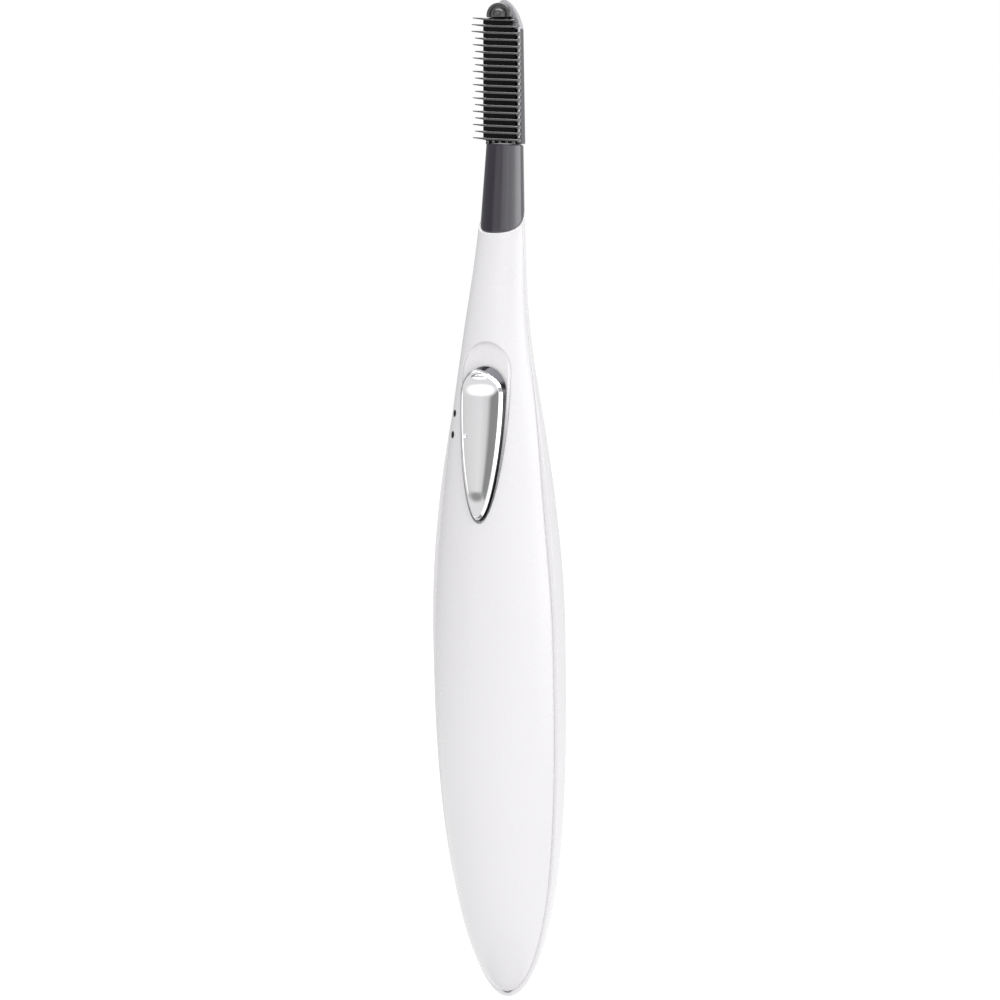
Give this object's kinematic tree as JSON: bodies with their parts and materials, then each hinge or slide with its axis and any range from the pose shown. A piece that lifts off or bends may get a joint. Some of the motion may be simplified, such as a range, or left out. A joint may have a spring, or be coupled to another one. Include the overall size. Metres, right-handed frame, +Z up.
{
  "type": "heated eyelash curler",
  "caption": "Battery heated eyelash curler: white spindle handle with a chrome thumb slide, a dark neck and a narrow black comb with cross fins and needle teeth.",
  "frame": {"origin": "tip of the handle's tail", "axes": "+Z up along the handle to the comb, -Y towards the front with the thumb slide, +X to the right of a person facing the front"},
  "size_m": [0.0182, 0.0174, 0.1369],
  "materials": {
    "white_gloss": "glossy moulded white",
    "smoke_satin": "satin dark grey with a purple tint",
    "tip_grey": "satin light grey",
    "comb_black": "semi-gloss black",
    "seal_rubber": "matt black",
    "heater_alu": "rolled sheet",
    "heater_ceramic": "fired, dull",
    "insulator_sheet": "dull sheet",
    "lead_red": "smooth insulation",
    "lead_black": "smooth insulation",
    "fuse_ceramic": "glazed",
    "chrome": "polished bright plating",
    "black_plastic": "moulded",
    "copper_alloy": "bright strip",
    "spring_steel": "bright plated",
    "board_brown": "pressed laminate",
    "cell_jacket": "printed sleeve, plain dark grey",
    "cradle_grey": "moulded"
  },
  "bodies": {
    "root": {"front_case": "white_gloss", "rear_case": "white_gloss", "neck_sleeve": "smoke_satin", "head_frame": "smoke_satin", "tip_guard": "tip_grey", "comb": "comb_black", "comb_pin": "comb_black", "neck_seal": "seal_rubber", "heater_plate": "heater_alu", "heater_element": "heater_ceramic", "heater_insulator": "insulator_sheet", "heater_leads": "lead_red", "thermal_fuse": "fuse_ceramic", "contact_pads": "copper_alloy", "detent_spring": "spring_steel", "switch_board": "board_brown", "battery_cell": "cell_jacket", "battery_cradle": "cradle_grey", "positive_contact": "spring_steel", "negative_contact": "spring_steel", "negative_spring": "spring_steel", "positive_lead": "lead_red", "negative_lead": "lead_black", "case_screws": "spring_steel"},
    "switch": {"switch_knob": "chrome", "switch_slider": "black_plastic", "switch_wiper": "copper_alloy"},
    "door": {"battery_door": "white_gloss"}
  },
  "joints": [
    {"name": "switch_slide", "type": "slide", "parent": "root", "child": "switch", "axis": [0, 0.0976, 0.9952], "range_m": [0, 0.003]},
    {"name": "battery_door_lift", "type": "slide", "parent": "root", "child": "door", "axis": [0, 1, 0], "range_m": [0, 0.015]}
  ]
}
